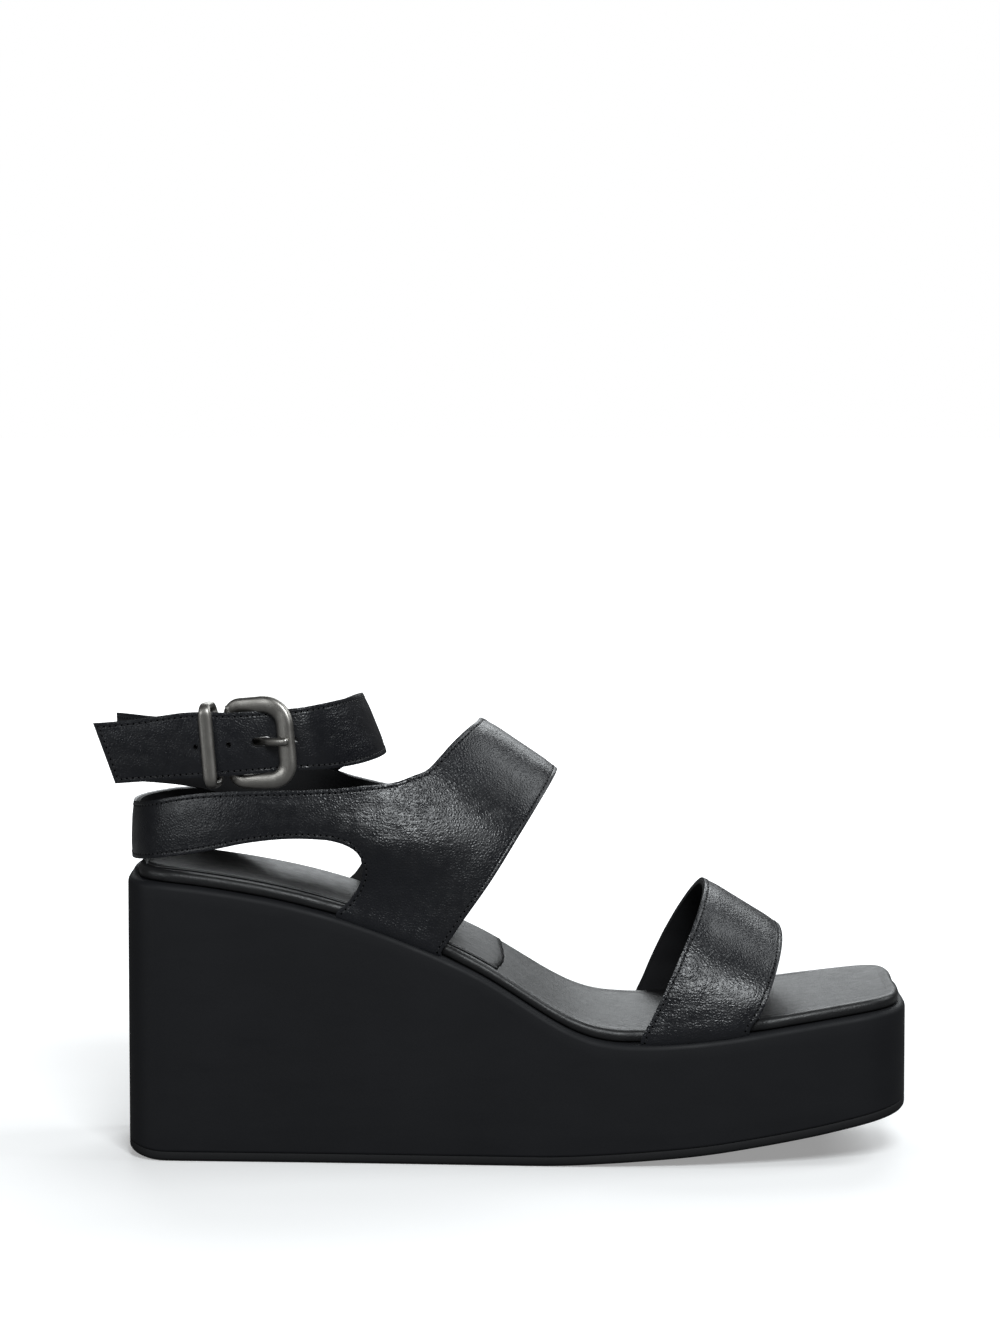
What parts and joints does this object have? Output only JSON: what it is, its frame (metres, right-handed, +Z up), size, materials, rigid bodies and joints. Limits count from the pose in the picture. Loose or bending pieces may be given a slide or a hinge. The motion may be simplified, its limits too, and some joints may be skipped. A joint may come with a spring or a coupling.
{
  "type": "wedge sandal",
  "caption": "Right-foot wedge sandal with platform sole, toe strap, instep strap and a crossed ankle harness with a pin buckle and keeper loop.",
  "frame": {"origin": "on the ground under the middle of the sole's length and width", "axes": "+X towards the toe, -Y towards the outer side with the buckle, +Z up"},
  "size_m": [0.265, 0.0916, 0.1531],
  "materials": {
    "rubber_sole": "matte black rubber",
    "foam_wedge": "matte black foam rubber",
    "fibreboard": "raw fibreboard",
    "padding": "soft foam sheet",
    "steel": "plain steel",
    "black_leather": "grained, semi-gloss black",
    "lining_leather": "smooth, matte black",
    "aged_nickel": "aged nickel, satin"
  },
  "bodies": {
    "sole": {"outsole": "rubber_sole", "wedge": "foam_wedge", "insole_board": "fibreboard", "shank": "steel", "shank_rivet_rear": "steel", "shank_rivet_front": "steel", "footbed_foam": "padding", "footbed_cover": "black_leather", "heel_sock": "black_leather", "toe_strap_outer": "black_leather", "toe_strap_lining": "lining_leather", "instep_strap_outer": "black_leather", "instep_strap_lining": "lining_leather"},
    "harness": {"heel_strap_outer": "black_leather", "heel_strap_lining": "lining_leather", "ankle_strap_outer": "black_leather", "ankle_strap_lining": "lining_leather", "buckle_strap_outer": "black_leather", "buckle_strap_lining": "lining_leather"},
    "buckle_frame": {"buckle_frame": "aged_nickel"},
    "prong": {"prong": "aged_nickel"},
    "keeper": {"keeper_loop": "aged_nickel"},
    "strap_tip": {"strap_tip_outer": "black_leather", "strap_tip_lining": "lining_leather"}
  },
  "joints": [
    {"name": "harness_tilt", "type": "hinge", "parent": "sole", "child": "harness", "pos_m": [-0.0365, 0, 0.1255], "axis": [0, 1, 0], "range_deg": [0, 12]},
    {"name": "frame_swing", "type": "hinge", "parent": "harness", "child": "buckle_frame", "pos_m": [-0.09261, -0.02901, 0.13644], "axis": [0.0858, -0.0151, -0.9962], "range_deg": [0, 4]},
    {"name": "prong_pivot", "type": "hinge", "parent": "buckle_frame", "child": "prong", "pos_m": [-0.09261, -0.02901, 0.13644], "axis": [0.0858, -0.0151, -0.9962], "range_deg": [0, 5]},
    {"name": "keeper_slide", "type": "slide", "parent": "harness", "child": "keeper", "axis": [-0.9811, 0.173, -0.0872], "range_m": [0, 0.005]},
    {"name": "strap_tip_flex", "type": "hinge", "parent": "harness", "child": "strap_tip", "pos_m": [-0.11628, -0.03017, 0.13442], "axis": [-0.0858, 0.0151, 0.9962], "range_deg": [0, 30]}
  ]
}
